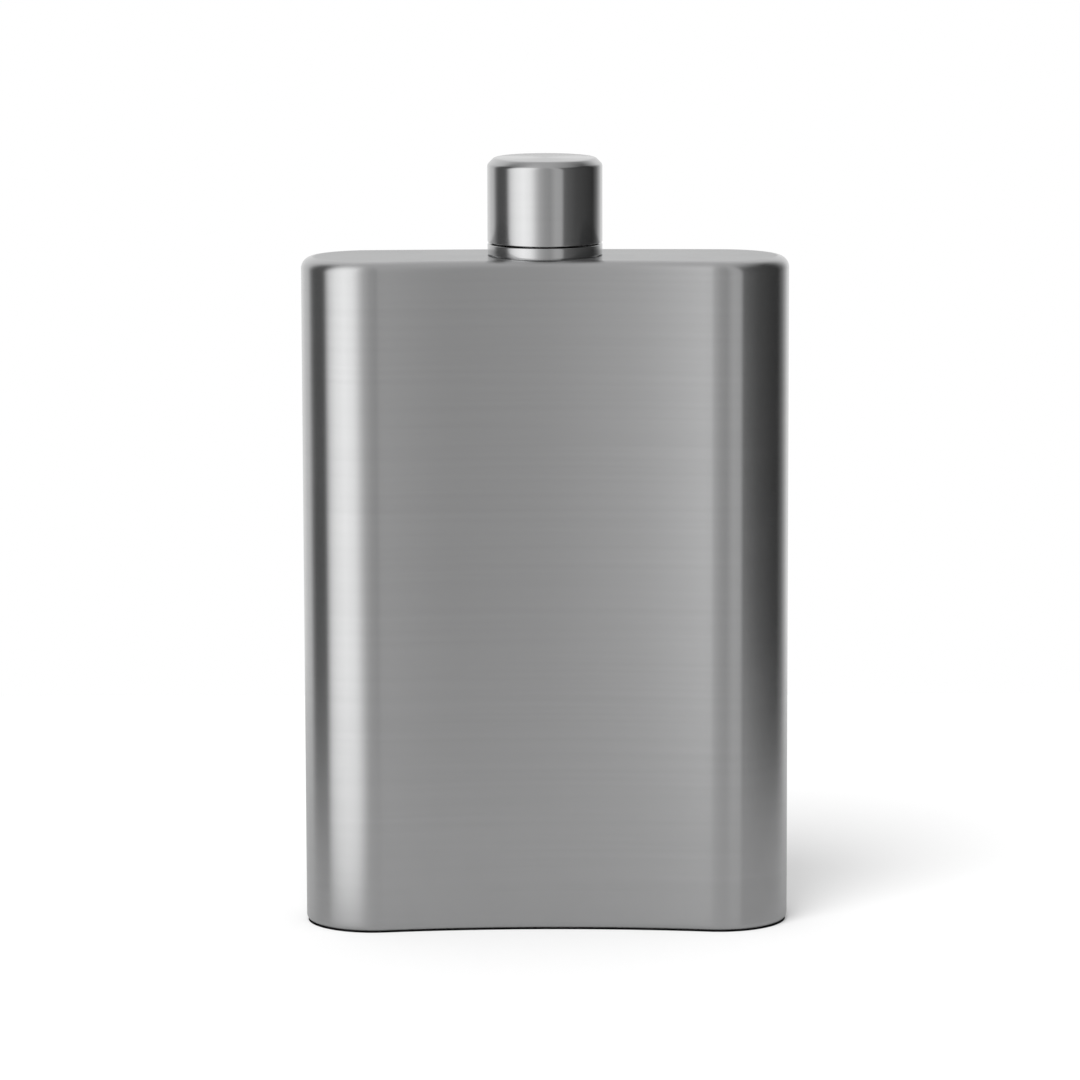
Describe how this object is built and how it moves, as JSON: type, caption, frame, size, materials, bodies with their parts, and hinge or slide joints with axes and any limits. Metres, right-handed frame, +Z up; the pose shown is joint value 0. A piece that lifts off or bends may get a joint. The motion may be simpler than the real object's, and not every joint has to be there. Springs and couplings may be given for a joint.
{
  "type": "hip flask",
  "caption": "Flat curved steel hip flask with a hollow front, a short threaded neck and a round bevelled screw cap.",
  "frame": {"origin": "middle of the base, in the plane that the flask stands on", "axes": "+Z up through the neck, +X along the width, and the hollow front faces -Y"},
  "size_m": [0.095, 0.028, 0.1507],
  "materials": {
    "satin_steel": "fine satin brushed stainless steel",
    "polished_steel": "finely turned and polished stainless steel",
    "turned_steel": "turned stainless steel",
    "weld_steel": "ground and polished weld",
    "seal_rubber": "matte translucent white silicone",
    "liner_plastic": "moulded black polypropylene"
  },
  "bodies": {
    "flask": {"body_sleeve": "satin_steel", "sleeve_seam_weld": "weld_steel", "top_plate": "satin_steel", "top_plate_weld": "weld_steel", "base_plate": "satin_steel", "base_plate_weld": "weld_steel", "neck_spout": "turned_steel", "neck_weld": "weld_steel", "neck_collar": "polished_steel"},
    "seal": {"seal_disc": "seal_rubber"},
    "cap": {"cap_shell": "polished_steel", "cap_liner": "liner_plastic"}
  },
  "joints": [
    {"name": "cap_lift", "type": "slide", "parent": "flask", "child": "seal", "axis": [0, 0, 1], "range_m": [0, 0.01801]},
    {"name": "cap_turn", "type": "hinge", "parent": "seal", "child": "cap", "pos_m": [0, 0.00136, 0.1425], "axis": [0, 0, 1], "range_deg": [0, 2160]}
  ],
  "couplings": [
    {"joint": "cap_lift", "follows": "cap_turn", "m_per_rad": 0.00047746}
  ]
}
